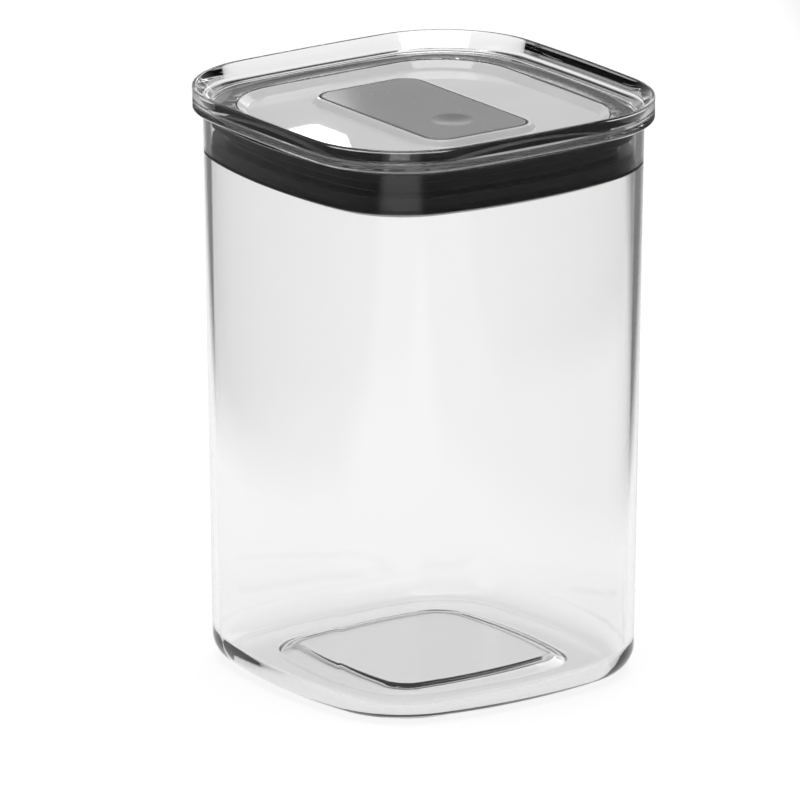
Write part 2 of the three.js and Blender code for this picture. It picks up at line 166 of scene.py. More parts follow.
def outlines(profile):
    """Sections (m, n, 3) of a profile of (half, stretch, side, corner, z) rows.

    Each is a rounded square of four bowed sides and four corners. A side is an arc of the side
    radius about a point on its own axis, a corner an arc of the corner radius about a point on the
    diagonal, and they share a tangent where they meet. Stretch moves both halves apart along Y.
    """
    half, stretch, side, corner, z = (profile[:, i, None] for i in range(5))
    middle = half - side
    span = side - corner
    centre = (middle + np.sqrt(2 * span**2 - middle**2)) / 2
    join = np.arctan2(centre, centre - middle)
    along = np.linspace(-1, 1, SIDE_STEPS + 1)[None, :-1] * join
    across = join + (np.pi / 2 - 2 * join) * np.linspace(0, 1, CORNER_STEPS + 1)[None, :-1]
    x = np.concatenate([middle + side * np.cos(along), centre + corner * np.cos(across)], 1)
    y = np.concatenate([side * np.sin(along), centre + corner * np.sin(across)], 1)
    turn = np.arange(4)[None, :, None] * np.pi / 2
    x, y = x[:, None], y[:, None]
    around_x = (x * np.cos(turn) - y * np.sin(turn)).reshape(len(profile), -1)
    around_y = (x * np.sin(turn) + y * np.cos(turn)).reshape(len(profile), -1)
    around_y = around_y + np.sign(np.round(around_y, 6)) * stretch
    return np.stack([around_x, around_y, np.broadcast_to(z, around_x.shape)], -1)


def inward(section, count):
    """Rings that shrink a flat section evenly towards its middle, without the middle itself."""
    share = np.linspace(1, 0, count + 1)[1:-1, None, None]
    middle = section.mean(0)
    return middle + (section - middle) * share


def skin(rings, loop=True):
    """Closed shell over rings (m, n, 3): one quad between each pair of neighbours on the grid.

    With loop the last ring meets the first. Without it each end closes in a fan on its middle.
    """
    m, n, _ = rings.shape
    i = np.arange(m if loop else m - 1)[:, None]
    j = np.arange(n)[None]
    up, beside = (i + 1) % m, (j + 1) % n
    corners = [i * n + j, i * n + beside, up * n + beside, up * n + j]
    quads = np.stack(np.broadcast_arrays(*corners), -1).reshape(-1, 4)
    points = rings.reshape(-1, 3)
    if loop:
        return points, quads.tolist()
    points = np.concatenate([points, rings[:1].mean(1), rings[-1:].mean(1)])
    low, high, ring, following = m * n, m * n + 1, np.arange(n), (np.arange(n) + 1) % n
    first = np.stack([np.full(n, low), following, ring], -1)
    last = np.stack([np.full(n, high), (m - 1) * n + ring, (m - 1) * n + following], -1)
    return points, quads.tolist() + first.tolist() + last.tolist()


def turned(profile, centre=(0, 0, 0), along="z", segments=40):
    """Shell of revolution: a profile of (radius, height) rows carried round an axis.

    A point is radius times the cosine and sine of the turn, with the height along the axis.
    """
    profile = np.asarray(profile, float)
    turn = np.arange(segments) / segments * 2 * np.pi
    radius, height = profile[:, :1], profile[:, 1:2] + 0 * turn
    rings = np.stack([radius * np.cos(turn), radius * np.sin(turn), height], -1)
    if along == "x":
        rings = rings[..., [2, 0, 1]]
    return skin(rings + np.asarray(centre, float), loop=False)


def soft_rod(radius, bottom, top, bevel, centre=(0, 0, 0), along="z", segments=40):
    """Rod with quarter-round edges at both ends."""
    a = np.linspace(0, np.pi / 2, 5)
    low = np.stack([radius - bevel + bevel * np.sin(a), bottom + bevel * (1 - np.cos(a))], -1)
    high = np.stack([radius - bevel + bevel * np.cos(a), top - bevel + bevel * np.sin(a)], -1)
    return turned(np.concatenate([low, high]), centre, along, segments)


def plate_on_edge(x0, x1, y0, y1, z0, z1, radius, bevel=0.25):
    """Upright plate between two x planes whose outline in Y and Z is a rounded rectangle.

    The outline point is the corner centre plus the radius times the cosine and sine of its angle.
    """
    a = np.linspace(0, np.pi / 2, 9)
    angle = np.concatenate([a + q * np.pi / 2 for q in range(4)])
    sign_y = np.repeat([1, -1, -1, 1], 9)
    sign_z = np.repeat([1, 1, -1, -1], 9)
    middle = np.array([(y0 + y1) / 2, (z0 + z1) / 2])
    reach = np.array([(y1 - y0) / 2 - radius, (z1 - z0) / 2 - radius])
    inset = np.array([bevel, 0.3 * bevel, 0, 0, 0.3 * bevel, bevel])[:, None]
    x = np.array([x0, x0 + 0.3 * bevel, x0 + bevel, x1 - bevel, x1 - 0.3 * bevel, x1])[:, None]
    y = middle[0] + sign_y * reach[0] + (radius - inset) * np.cos(angle)
    z = middle[1] + sign_z * reach[1] + (radius - inset) * np.sin(angle)
    return skin(np.stack([x + 0 * y, y, z], -1), loop=False)


def coil(radius, wire, bottom, top, turns, centre, segments=12):
    """Compression spring: a round wire carried along a helix whose end turns lie flat.

    The path's height is a smooth step of the turn, so the pitch fades to nothing at both ends. A
    wire point is the path point plus the wire radius in the plane of the outward normal and Z.
    """
    t = np.linspace(0, 1, int(turns * 30) + 1)[:, None]
    angle = 2 * np.pi * turns * t
    rise = np.clip((t - 0.12) / 0.76, 0, 1)
    height = bottom + (top - bottom) * (0.25 * rise**2 * (3 - 2 * rise) + 0.75 * rise)
    around = np.arange(segments) / segments * 2 * np.pi
    out = radius + wire * np.cos(around)
    x, y = out * np.cos(angle), out * np.sin(angle)
    z = height + wire * np.sin(around)
    rings = np.stack([x, y, z], -1)[:, ::-1]
    return skin(rings + np.array([*centre, 0.0]), loop=False)


def bored(shell, tools):
    """Closed shell left when tools are cut away: what lies inside the shell and outside each."""
    pair = []
    for points, faces in (shell, joined(tools)):
        mesh = bpy.data.meshes.new("cut")
        mesh.from_pydata(points.tolist(), [], faces)
        made = bpy.data.objects.new("cut", mesh)
        bpy.context.scene.collection.objects.link(made)
        pair.append(made)
    blank, tool = pair
    cut = blank.modifiers.new("cut", "BOOLEAN")
    cut.operation, cut.solver, cut.object = "DIFFERENCE", "EXACT", tool
    result = blank.evaluated_get(bpy.context.evaluated_depsgraph_get()).to_mesh()
    points = np.array([tuple(v.co) for v in result.vertices])
    faces = [list(face.vertices) for face in result.polygons]
    blank.to_mesh_clear()
    for made in pair:
        mesh = made.data
        bpy.data.objects.remove(made)
        bpy.data.meshes.remove(mesh)
    if len(points) <= len(shell[0]):
        raise RuntimeError("Nothing was cut away")
    return points, faces


def joined(shells):
    """Points and faces of several shells as one list of each."""
    points, faces, offset = [], [], 0
    for shell_points, shell_faces in shells:
        points.append(shell_points)
        faces += [[v + offset for v in face] for face in shell_faces]
        offset += len(shell_points)
    return np.concatenate(points), faces


def piece(name, shells, finish, body, stands_for):
    """Object of one or more shells, in metres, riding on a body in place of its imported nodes."""
    points, faces = joined(shells)
    mesh = bpy.data.meshes.new(name)
    mesh.from_pydata((points * MM).tolist(), [], faces)
    mesh.validate()
    mesh.shade_smooth()
    mesh.materials.append(finish)
    made = bpy.data.objects.new(name, mesh)
    bpy.context.scene.collection.objects.link(made)
    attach(made, body)
    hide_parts(*stands_for)
    return made


# ---- Finishes -----------------------------------------------------------------------------


def finish(name, **values):
    """Material whose surface shader has these constant socket values."""
    found = bpy.data.materials.get(name)
    if found:
        return found, None
    made = bpy.data.materials.new(name)
    made.use_nodes = True
    shader = made.node_tree.nodes["Principled BSDF"]
    for socket, value in values.items():
        shader.inputs[socket.replace("_", " ")].default_value = value
    return made, shader


def grain(made, scale, detail=3.0, stretch=(1, 1, 1)):
    """Noise over the piece's own coordinates, in repeats to the metre."""
    nodes, links = made.node_tree.nodes, made.node_tree.links
    place = nodes.new("ShaderNodeTexCoord")
    mapping = nodes.new("ShaderNodeMapping")
    mapping.inputs["Scale"].default_value = stretch
    noise = nodes.new("ShaderNodeTexNoise")
    noise.inputs["Scale"].default_value = scale
    noise.inputs["Detail"].default_value = detail
    links.new(place.outputs["Object"], mapping.inputs["Vector"])
    links.new(mapping.outputs["Vector"], noise.inputs["Vector"])
    return noise.outputs["Fac"]


def spread(made, shader, pattern, socket, low, high):
    """Drives a number of the shader between two values by a pattern."""
    ramp = made.node_tree.nodes.new("ShaderNodeMapRange")
    ramp.inputs["From Min"].default_value = 0.3
    ramp.inputs["From Max"].default_value = 0.7
    ramp.inputs["To Min"].default_value = low
    ramp.inputs["To Max"].default_value = high
    made.node_tree.links.new(pattern, ramp.inputs["Value"])
    made.node_tree.links.new(ramp.outputs["Result"], shader.inputs[socket])


def shades(made, shader, pattern, dark, light):
    """Colour that drifts between two shades by a pattern."""
    ramp = made.node_tree.nodes.new("ShaderNodeValToRGB")
    ramp.color_ramp.elements[0].position = 0.35
    ramp.color_ramp.elements[1].position = 0.65
    ramp.color_ramp.elements[0].color = (*dark, 1)
    ramp.color_ramp.elements[1].color = (*light, 1)
    made.node_tree.links.new(pattern, ramp.inputs["Fac"])
    made.node_tree.links.new(ramp.outputs["Color"], shader.inputs["Base Color"])


def relief(made, shader, pattern, strength, distance):
    """Fine relief of the surface from a pattern."""
    bump = made.node_tree.nodes.new("ShaderNodeBump")
    bump.inputs["Strength"].default_value = strength
    bump.inputs["Distance"].default_value = distance
    made.node_tree.links.new(pattern, bump.inputs["Height"])
    made.node_tree.links.new(bump.outputs["Normal"], shader.inputs["Normal"])


def dim(made, density):
    """Grey body of a clear material: light fades by the density for each metre inside it."""
    nodes = made.node_tree.nodes
    body = nodes.new("ShaderNodeVolumeAbsorption")
    body.inputs["Color"].default_value = (0.0, 0.0, 0.0, 1)
    body.inputs["Density"].default_value = density
    made.node_tree.links.new(body.outputs["Volume"], nodes["Material Output"].inputs["Volume"])


def pressed_glass(tint, density):
    """Clear pressed glass with a grey body tint that shows where the wall is seen edge on."""
    made, shader = finish(
        "pressed glass",
        Base_Color=(tint, tint, tint, 1),
        Specular_Tint=(0.6, 0.6, 0.6, 1),
        Transmission_Weight=1.0,
        IOR=1.5,
        Roughness=0.0,
    )
    if shader is None:
        return made
    dim(made, density)
    spread(made, shader, grain(made, 60, 4), "Roughness", 0.0, 0.012)
    relief(made, shader, grain(made, 45, 1, (1, 1, 0.35)), 0.04, 0.0004)
    return made


def clear_moulding(tint, density):
    """Clear moulded plastic with a faint uneven polish."""
    made, shader = finish(
        "clear moulding",
        Base_Color=(tint, tint, tint, 1),
        Transmission_Weight=1.0,
        IOR=1.49,
        Roughness=0.0,
    )
    if shader is None:
        return made
    dim(made, density)
    spread(made, shader, grain(made, 90, 4), "Roughness", 0.0, 0.012)
    relief(made, shader, grain(made, 30, 1), 0.01, 0.0002)
    return made


def moulded(name, colour, low, high, relief_strength=0.06, texture=2600, **values):
    """Solid moulded plastic: slow drift of shade, uneven gloss and a fine spark-eroded grain."""
    made, shader = finish(name, **values)
    if shader is None:
        return made
    colour = np.array(colour)
    drift = grain(made, 35, 5)
    shades(made, shader, drift, tuple(colour * 0.975), tuple(np.minimum(colour * 1.025, 1)))
    spread(made, shader, grain(made, 240, 5), "Roughness", low, high)
    relief(made, shader, grain(made, texture, 2), relief_strength, 0.00002)
    return made


def silicone(colour):
    """Dark silicone rubber: soft bloom, flow lines round the ring and a satin mould finish."""
    made, shader = finish("dark silicone", Specular_IOR_Level=0.25, IOR=1.42)
    if shader is None:
        return made
    colour = np.array(colour)
    shades(made, shader, grain(made, 60, 6), tuple(colour * 0.85), tuple(colour * 1.2))
    spread(made, shader, grain(made, 400, 5), "Roughness", 0.3, 0.42)
    relief(made, shader, grain(made, 300, 2, (0.2, 0.2, 1)), 0.012, 0.00003)
    return made


def steel():
    """Bright drawn steel wire and rod with fine drawing lines."""
    made, shader = finish("bright steel", Metallic=1.0)
    if shader is None:
        return made
    shades(made, shader, grain(made, 700, 4), (0.55, 0.56, 0.57), (0.72, 0.73, 0.74))
    spread(made, shader, grain(made, 900, 4, (0.1, 1, 1)), "Roughness", 0.2, 0.36)
    relief(made, shader, grain(made, 3000, 2, (0.05, 1, 1)), 0.1, 0.00002)
    return made


# ---- Settings -----------------------------------------------------------------------------


class CanisterGlassSettings(bpy.types.PropertyGroup):
    wall: FloatProperty(
        name="Wall", description="Thickness of the glass wall",
        default=0.002, min=0.001, max=0.004, unit="LENGTH",
    )
    foot_radius: FloatProperty(
        name="Foot radius", description="Outer radius between wall and foot",
        default=0.016, min=0.006, max=0.017, unit="LENGTH",
    )
    floor: FloatProperty(
        name="Floor", description="Height of the inside floor above the table, beside the push-up",
        default=0.0024, min=0.002, max=0.005, unit="LENGTH",
    )
    tint: FloatProperty(
        name="Surface tint", description="Share of light each surface of the glass lets in",
        default=0.965, min=0.8, max=1.0, subtype="FACTOR",
    )
    body_grey: FloatProperty(
        name="Body grey", description="Light lost in the glass, as a rate for each metre",
        default=18.0, min=0.0, max=80.0,
    )


class CanisterCoverSettings(bpy.types.PropertyGroup):
    edge_wall: FloatProperty(
        name="Edge wall", description="Thickness of the rim at its top edge",
        default=0.0009, min=0.0006, max=0.002, unit="LENGTH",
    )
    foot_wall: FloatProperty(
        name="Foot wall", description="Thickness of the rim at the foot of its inner slope",
        default=0.0047, min=0.003, max=0.006, unit="LENGTH",
    )
    edge_round: FloatProperty(
        name="Edge round", description="Radius on the top edges of the rim",
        default=0.0005, min=0.0001, max=0.0008, unit="LENGTH",
    )
    tint: FloatProperty(
        name="Surface tint", description="Share of light each surface of the cover lets in",
        default=0.985, min=0.8, max=1.0, subtype="FACTOR",
    )
    body_grey: FloatProperty(
        name="Body grey", description="Light lost in the plastic, as a rate for each metre",
        default=25.0, min=0.0, max=80.0,
    )


class CanisterPanelSettings(bpy.types.PropertyGroup):
    colour: FloatVectorProperty(
        name="Panel colour", description="Shade of the top panel",
        default=(0.66, 0.66, 0.66), size=3, min=0, max=1, subtype="COLOR",
    )
    lever_colour: FloatVectorProperty(
        name="Lever colour", description="Shade of the lever",
        default=(0.22, 0.22, 0.22), size=3, min=0, max=1, subtype="COLOR",
    )
    carrier_colour: FloatVectorProperty(
        name="Carrier colour", description="Shade of the white inner mouldings",
        default=(0.86, 0.86, 0.86), size=3, min=0, max=1, subtype="COLOR",
    )
    dimple_depth: FloatProperty(
        name="Dimple depth", description="Depth of the thumb dimple in the lever",
        default=0.0005, min=0.0, max=0.0014, unit="LENGTH",
    )
    dimple_radius: FloatProperty(
        name="Dimple radius", description="Radius of the thumb dimple in the lever",
        default=0.0056, min=0.003, max=0.009, unit="LENGTH",
    )


class CanisterSealSettings(bpy.types.PropertyGroup):
    colour: FloatVectorProperty(
        name="Seal colour", description="Shade of the silicone",
        default=(0.006, 0.006, 0.006), size=3, min=0, max=1, subtype="COLOR",
    )
    press: FloatProperty(
        name="Press", description="How far the lip presses into the glass",
        default=0.00003, min=0.0, max=0.0001, unit="LENGTH",
    )


class CanisterStageSettings(bpy.types.PropertyGroup):
    azimuth: FloatProperty(
        name="Azimuth", description="Turn of the camera round the canister",
        default=math.radians(-35.26), unit="ROTATION", subtype="ANGLE",
    )
    elevation: FloatProperty(
        name="Elevation", description="Height of the camera above the horizon",
        default=math.radians(16.64), unit="ROTATION", subtype="ANGLE",
    )
    distance: FloatProperty(
        name="Distance", description="Camera to the middle of the canister",
        default=3.509, min=0.5, max=10, unit="LENGTH",
    )
    lens: FloatProperty(
        name="Lens", description="Focal length on a 36 mm sensor, in millimetres",
        default=627.8, min=50, max=1200,
    )


# ---- Operators ----------------------------------------------------------------------------


def jar_half(z):
    """Half width of the jar's outer skin at a height: a straight draft above the foot radius."""
    share = np.clip((z - FOOT_FILLET) / (JAR_HIGH[2] - FOOT_FILLET), 0, 1)
    return JAR["half"] + (JAR_HIGH[0] - JAR["half"]) * share


class CANISTER_OT_press_jar(bpy.types.Operator):
    """Press the glass jar"""

    bl_idname = "canister.press_jar"
    bl_label = "Press Jar"

    def execute(self, context):
        glass = context.scene.canister_glass
        wall, foot, floor = glass.wall / MM, glass.foot_radius / MM, glass.floor / MM
        top = JAR_HIGH[2]
        profile = rounded(
            [
                row(PUSH_UP, 22.0, PUSH_UP_HEIGHT, 0),
                row(PUSH_UP, 25.8, PUSH_UP_HEIGHT, 8),
                row(PUSH_UP, 30.2, 0, 2),
                row(JAR, jar_half(0), 0, foot),
                row(JAR, jar_half(top), top, 0.8),
                row(JAR, jar_half(top) - wall, top, 0.8),
                row(JAR, jar_half(floor) - wall, floor, foot - wall),
                row(PUSH_UP, 30.6, floor, 3),
                row(PUSH_UP, 25.8, floor + PUSH_UP_HEIGHT, 8),
                row(PUSH_UP, 22.0, floor + PUSH_UP_HEIGHT, 0),
            ],
            closed=False,
            steps=14,
        )
        sections = outlines(profile)
        rings = np.concatenate(
            [inward(sections[0], 6)[::-1], sections, inward(sections[-1], 6)]
        )
        piece(
            "pressed_jar",
            [skin(rings, loop=False)],
            pressed_glass(glass.tint, glass.body_grey),
            "jar",
            ["glass_jar"],
        )
        return {"FINISHED"}


class CANISTER_OT_mould_cover(bpy.types.Operator):
    """Mould the clear cover with its upstanding rim"""

    bl_idname = "canister.mould_cover"
    bl_label = "Mould Cover"

    def execute(self, context):
        cover = context.scene.canister_cover
        edge_wall, foot_wall = cover.edge_wall / MM, cover.foot_wall / MM
        edge = cover.edge_round / MM
        low, top, bottom = RIM_LOW, COVER_HIGH[2], COVER_LOW[2]
        outer = COVER_HIGH[0]
        profile = rounded(
            [
                row(LID, outer, low, 0.9),
                row(LID, outer, top, edge),
                row(LID, outer - edge_wall, top, edge),
                row(LID, outer - foot_wall, SLOPE_LOW, 0.4),
                row(LID, outer - foot_wall, RING_TOP, 0.2),
                row(PANEL, 39.7, RING_TOP, 0.25),
                row(PANEL, 39.7, bottom + 0.5, 0.2),
                row(PANEL, 38.95, bottom, 0.2),
                row(NECK, 46.3, bottom, 0.3),
                row(NECK, 46.3, low, 0.15),
            ]
        )
        piece(
            "clear_cover",
            [skin(outlines(profile))],
            clear_moulding(cover.tint, cover.body_grey),
            "lid",
            ["lid_cover"],
        )
        return {"FINISHED"}


class CANISTER_OT_mould_panel(bpy.types.Operator):
    """Mould the dished panel with the collar round the lever"""

    bl_idname = "canister.mould_panel"
    bl_label = "Mould Panel"

    def execute(self, context):
        settings = context.scene.canister_panel
        outer = PANEL_HIGH[0]
        rim, floor, under = 144.9, PANEL_FLOOR, PANEL_UNDER
        opening = LEVER["half"] + 0.6
        slot = {"half": opening, "side": STRAIGHT, "corner": 5.6, "stretch": 11.85}
        profile = rounded(
            [
                row(PANEL, outer - 2.2, under, 0.3),
                row(PANEL, outer, 143.9, 0.4),
                row(PANEL, outer, rim, 0.2),
                row(PANEL, outer - 0.3, rim, 0.2),
                row(PANEL, outer - 2.3, floor, 0.6),
                row(slot, opening + 1.9, floor, 0.5),
                row(slot, opening + 0.8, rim, 0.4),
                row(slot, opening, 145.0, 0.15),
                row(slot, opening, 140.3, 0.2),
                row(slot, opening + 1.4, 140.3, 0.2),
                row(slot, opening + 1.4, under, 0.4),
            ]
        )
        bosses = [soft_rod(2.8, 137.5, under + 0.3, 0.3, (x, y, 0)) for x, y in BOSS_AT]
        piece(
            "dished_panel",
            [skin(outlines(profile)), *bosses],
            moulded("pale grey moulding", settings.colour, 0.02, 0.035, 0.004, 900),
            "lid",
            ["top_panel"],
        )
        return {"FINISHED"}


class CANISTER_OT_mould_lever(bpy.types.Operator):
    """Mould the rocking lever with its thumb dimple and pin ribs"""

    bl_idname = "canister.mould_lever"
    bl_label = "Mould Lever"

    def execute(self, context):
        settings = context.scene.canister_panel
        depth, reach = settings.dimple_depth / MM, settings.dimple_radius / MM
        half, top, bottom = LEVER_HIGH[0], LEVER_HIGH[2], 141.5
        profile = rounded(
            [
                row(LEVER, half - 3.0, 143.1, 0),
                row(LEVER, half - 1.5, 143.1, 0.4),
                row(LEVER, half - 1.5, bottom, 0.3),
                row(LEVER, half, bottom, 0.3),
                row(LEVER, half, top, 0.35),
                row(LEVER, half - 3.0, top, 0),
            ],
            closed=False,
        )
        sections = outlines(profile)
        face = inward(sections[-1], 70)
        away = np.hypot(face[..., 0], face[..., 1] + 12.5) / reach
        face[..., 2] -= depth * np.clip(1 - away**2, 0, 1) ** 1.5
        rings = np.concatenate([inward(sections[0], 4)[::-1], sections, face])
        y, z = PIVOT
        ribs = [
            plate_on_edge(x, x + 2, y - LINK_ARM - 2.2, y + 2.2, z - 2, 143.3, 1.4)
            for x in (-7.7, 5.7)
        ]
        piece(
            "thumb_lever",
            [skin(rings, loop=False), *ribs],
            moulded("mid grey moulding", settings.lever_colour, 0.2, 0.28, 0.012, 1500),
            "lever",
            ["lever"],
        )
        return {"FINISHED"}


class CANISTER_OT_mould_carrier(bpy.types.Operator):
    """Mould the white tray that carries the seal, with its pin lugs and screw posts"""

    bl_idname = "canister.mould_carrier"
    bl_label = "Mould Carrier"

    def execute(self, context):
        settings = context.scene.canister_panel
        low, top = CARRIER_LOW[2], CARRIER_HIGH[2]
        profile = rounded(
            [
                row(NECK, 30.0, low, 0),
                row(NECK, 40.7, low, 0.6),
                row(NECK, 40.7, FLANGE_LOW, 0.4),
                row(NECK, FLANGE, FLANGE_LOW, 0.3),
                row(NECK, FLANGE, top, 0.1),
                row(PANEL, 38.5, top, 0.3),
                row(PANEL, 38.5, 141.7, 0.2),
                row(NECK, 38.2, FLANGE_LOW, 0.2),
                row(NECK, 38.2, TRAY_FLOOR, 0.8),
                row(NECK, 30.0, TRAY_FLOOR, 0),
            ],
            closed=False,
        )
        sections = outlines(profile)
        rings = np.concatenate(
            [inward(sections[0], 5)[::-1], sections, inward(sections[-1], 5)]
        )
        y, z = PIVOT
        lugs = [
            plate_on_edge(x, x + 2.4, y - 2.2, y + 2.2, TRAY_FLOOR - 0.1, z + 2.2, 2.1)
            for x in (-11.4, 9.0)
        ]
        under, over = low - 1, TRAY_FLOOR + 1
        wells = [soft_rod(2.3, under, over, 0.1, (x, y, 0)) for x, y in BOSS_AT]
        holes = [soft_rod(2.1, under, over, 0.1, (x, y, 0)) for x, y in SPRING_AT]
        link = y - LINK_ARM
        window = plate_on_edge(-5.5, 5.5, link - 3.6, link + 3.6, under, over, 0.2, 0.1)
        tray = bored(skin(rings, loop=False), [*wells, *holes, window])
        posts = [
            bored(soft_rod(3.2, TRAY_FLOOR - 0.1, 137.2, 0.3, (x, y, 0)), [well])
            for (x, y), well in zip(BOSS_AT, wells)
        ]
        piece(
            "white_carrier",
            [tray, *lugs, *posts],
            moulded("white moulding", settings.carrier_colour, 0.3, 0.42, 0.1, IOR=1.49),
            "lid",
            ["seal_carrier"],
        )
        return {"FINISHED"}


class CANISTER_OT_mould_seal(bpy.types.Operator):
    """Mould the silicone seal with its sleeve, shoulder and wiping lip"""

    bl_idname = "canister.mould_seal"
    bl_label = "Mould Seal"

    def execute(self, context):
        settings = context.scene.canister_seal
        wall = context.scene.canister_glass.wall / MM
        low, contact = SEAL_LOW[2], COVER_LOW[2] + TOUCH
        touch = 133.2
        lip = jar_half(touch) - wall + settings.press / MM
        profile = rounded(
            [
                row(JAR, lip - 0.3, low, 0.25),
                row(JAR, lip, touch - 0.4, 0.1),
                row(JAR, lip, touch + 0.4, 0.1),
                row(NECK, 46.3, 134.4, 0.3),
                row(NECK, 46.3, 136.8, 0.6),
                row(NECK, 42.4, 136.8, 0.5),
                row(NECK, 42.4, 140.4, 0.4),
                row(NECK, 46.25, 140.4, 0.4),
                row(NECK, 46.25, contact, 0.1),
                row(NECK, FLANGE + 0.2, contact, 0.1),
                row(NECK, FLANGE + 0.2, 141.2, 0.2),
                row(NECK, 41.0, 141.2, 0.2),
                row(NECK, 41.0, 133.6, 0.3),
                row(NECK, 45.0, 133.6, 0.3),
                row(NECK, 45.0, low, 0.3),
            ]
        )
        piece(
            "seal_ring",
            [skin(outlines(profile))],
            silicone(settings.colour),
            "lid",
            ["silicone_seal"],
        )
        return {"FINISHED"}


class CANISTER_OT_mould_plate(bpy.types.Operator):
    """Mould the pressure plate and the cap that closes its underside"""

    bl_idname = "canister.mould_plate"
    bl_label = "Mould Plate"

    def execute(self, context):
        settings = context.scene.canister_panel
        white = moulded("white moulding", settings.carrier_colour, 0.3, 0.42, 0.1, IOR=1.49)
        low, top = PLATE_LOW[2], 133.3
        plate = rounded(
            [
                row(NECK, 30.0, 132.1, 0),
                row(NECK, 41.6, 132.1, 0.2),
                row(NECK, 41.6, low, 0.2),
                row(NECK, 44.6, low, 0.6),
                row(NECK, 44.6, top, 0.4),
                row(NECK, 30.0, top, 0),
            ],
            closed=False,
        )
        cap = rounded(
            [
                row(NECK, 30.0, CAP_LOW[2], 0),
                row(NECK, 41.2, CAP_LOW[2], 0.3),
                row(NECK, 41.2, CAP_HIGH[2], 0.2),
                row(NECK, 30.0, CAP_HIGH[2], 0),
            ],
            closed=False,
        )
        shells = []
        for profile in (plate, cap):
            sections = outlines(profile)
            ends = [inward(sections[0], 5)[::-1], sections, inward(sections[-1], 5)]
            shells.append(skin(np.concatenate(ends), loop=False))
        posts = [soft_rod(1.8, 133.2, 139.9, 0.2, (x, y, 0)) for x, y in SPRING_AT]
        piece("press_plate", [shells[0], *posts], white, "plate", ["pressure_plate"])
        piece("plate_lid", [shells[1]], white, "plate", ["plate_cap"])
        return {"FINISHED"}


class CANISTER_OT_wind_springs(bpy.types.Operator):
    """Wind the four return springs"""

    bl_idname = "canister.wind_springs"
    bl_label = "Wind Springs"

    def execute(self, context):
        low, high = box_mm("return_spring_1")
        bottom, top = low[2] + SPRING_WIRE, high[2] - SPRING_WIRE
        for number, centre in enumerate(SPRING_AT, 1):
            shell = coil(SPRING_RADIUS, SPRING_WIRE, bottom, top, SPRING_TURNS, centre)
            name, node = f"wound_spring_{number}", f"return_spring_{number}"
            spring = piece(name, [shell], steel(), "lid", [node])
            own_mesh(spring)
        return {"FINISHED"}


class CANISTER_OT_finish_hardware(bpy.types.Operator):
    """Give the pins, the yoke and the screws their finishes"""

    bl_idname = "canister.finish_hardware"
    bl_label = "Finish Hardware"

    def execute(self, context):
        settings = context.scene.canister_panel
        white = moulded("white moulding", settings.carrier_colour, 0.3, 0.42, 0.1, IOR=1.49)
        for name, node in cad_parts.items():
            if not node.hide_render:
                node.data.materials.clear()
                node.data.materials.append(white if name == "lift_yoke" else steel())
        return {"FINISHED"}


